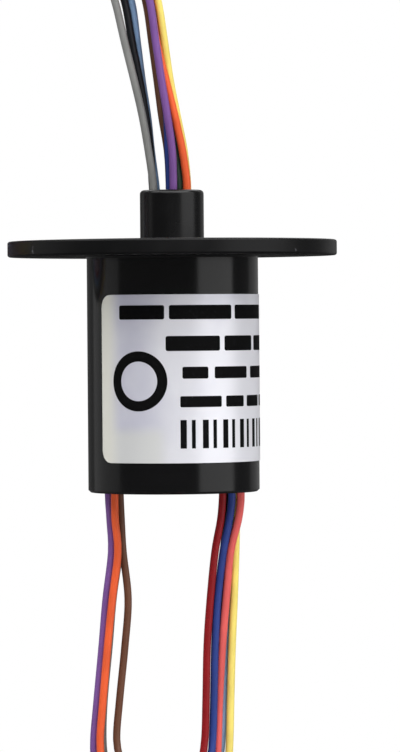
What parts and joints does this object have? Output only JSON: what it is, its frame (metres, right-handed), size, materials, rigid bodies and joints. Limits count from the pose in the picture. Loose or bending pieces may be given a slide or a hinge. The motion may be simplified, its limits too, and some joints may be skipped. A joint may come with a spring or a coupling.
{
  "type": "slip ring",
  "caption": "Capsule slip ring: round flange, cylindrical barrel with a blank label, a turning hub above, and thin coloured leads leaving both ends.",
  "frame": {"origin": "centre of the flange's underside, on the turning axis", "axes": "+Z along the turning axis, from the barrel towards the hub; the front of the object looks along -Y"},
  "size_m": [0.0598, 0.0424, 0.1613],
  "materials": {
    "body_black": "satin",
    "cap_black": "satin",
    "rotor_black": "satin",
    "spring_steel": "satin",
    "carrier_resin": "satin",
    "bearing_steel": "ground",
    "cage_bronze": "satin",
    "ball_steel": "polished",
    "board_green": "satin",
    "gold_wire": "polished",
    "ring_gold": "polished",
    "potting_black": "matte",
    "label_foil": "satin",
    "lead_bundle": "satin",
    "tie_black": "matte",
    "lead_black": "satin",
    "lead_grey": "satin",
    "lead_light_blue": "satin",
    "lead_violet": "satin",
    "lead_orange": "satin",
    "lead_navy": "satin",
    "lead_brown": "satin",
    "lead_green": "satin",
    "lead_dark_red": "satin",
    "lead_yellow": "satin",
    "lead_pink": "satin",
    "lead_white": "satin"
  },
  "bodies": {
    "stator": {"stator_housing": "body_black", "end_cap": "cap_black", "upper_bearing_outer": "bearing_steel", "lower_bearing_outer": "bearing_steel", "brush_board_left": "board_green", "brush_board_right": "board_green", "brush_wires_left": "gold_wire", "brush_wires_right": "gold_wire", "stator_potting": "potting_black", "label": "label_foil", "stator_lead_hank": "lead_bundle", "stator_hank_tie": "tie_black", "stator_lead_01": "lead_black", "stator_lead_02": "lead_grey", "stator_lead_03": "lead_light_blue", "stator_lead_04": "lead_violet", "stator_lead_05": "lead_orange", "stator_lead_06": "lead_navy", "stator_lead_07": "lead_brown", "stator_lead_08": "lead_green", "stator_lead_09": "lead_dark_red", "stator_lead_10": "lead_yellow", "stator_lead_11": "lead_pink", "stator_lead_12": "lead_white"},
    "rotor": {"rotor_shaft": "rotor_black", "retaining_ring": "spring_steel", "ring_carrier": "carrier_resin", "upper_bearing_inner": "bearing_steel", "lower_bearing_inner": "bearing_steel", "rotor_potting": "potting_black", "rotor_lead_hank": "lead_bundle", "rotor_hank_tie": "tie_black", "collector_ring_01": "ring_gold", "collector_ring_02": "ring_gold", "collector_ring_03": "ring_gold", "collector_ring_04": "ring_gold", "collector_ring_05": "ring_gold", "collector_ring_06": "ring_gold", "collector_ring_07": "ring_gold", "collector_ring_08": "ring_gold", "collector_ring_09": "ring_gold", "collector_ring_10": "ring_gold", "collector_ring_11": "ring_gold", "collector_ring_12": "ring_gold", "rotor_lead_01": "lead_black", "rotor_lead_02": "lead_grey", "rotor_lead_03": "lead_light_blue", "rotor_lead_04": "lead_violet", "rotor_lead_05": "lead_orange", "rotor_lead_06": "lead_navy", "rotor_lead_07": "lead_brown", "rotor_lead_08": "lead_green", "rotor_lead_09": "lead_dark_red", "rotor_lead_10": "lead_yellow", "rotor_lead_11": "lead_pink", "rotor_lead_12": "lead_white"},
    "upper_cage": {"upper_bearing_cage": "cage_bronze", "upper_bearing_balls": "ball_steel"},
    "lower_cage": {"lower_bearing_cage": "cage_bronze", "lower_bearing_balls": "ball_steel"}
  },
  "joints": [
    {"name": "rotor_spin", "type": "hinge", "parent": "stator", "child": "rotor", "pos_m": [0, 0, 0], "axis": [0, 0, 1], "continuous": true},
    {"name": "upper_cage_spin", "type": "hinge", "parent": "stator", "child": "upper_cage", "pos_m": [0, 0, 0], "axis": [0, 0, 1], "continuous": true},
    {"name": "lower_cage_spin", "type": "hinge", "parent": "stator", "child": "lower_cage", "pos_m": [0, 0, 0], "axis": [0, 0, 1], "continuous": true}
  ],
  "couplings": [
    {"joint": "upper_cage_spin", "follows": "rotor_spin", "ratio": 0.44},
    {"joint": "lower_cage_spin", "follows": "rotor_spin", "ratio": 0.4143}
  ]
}
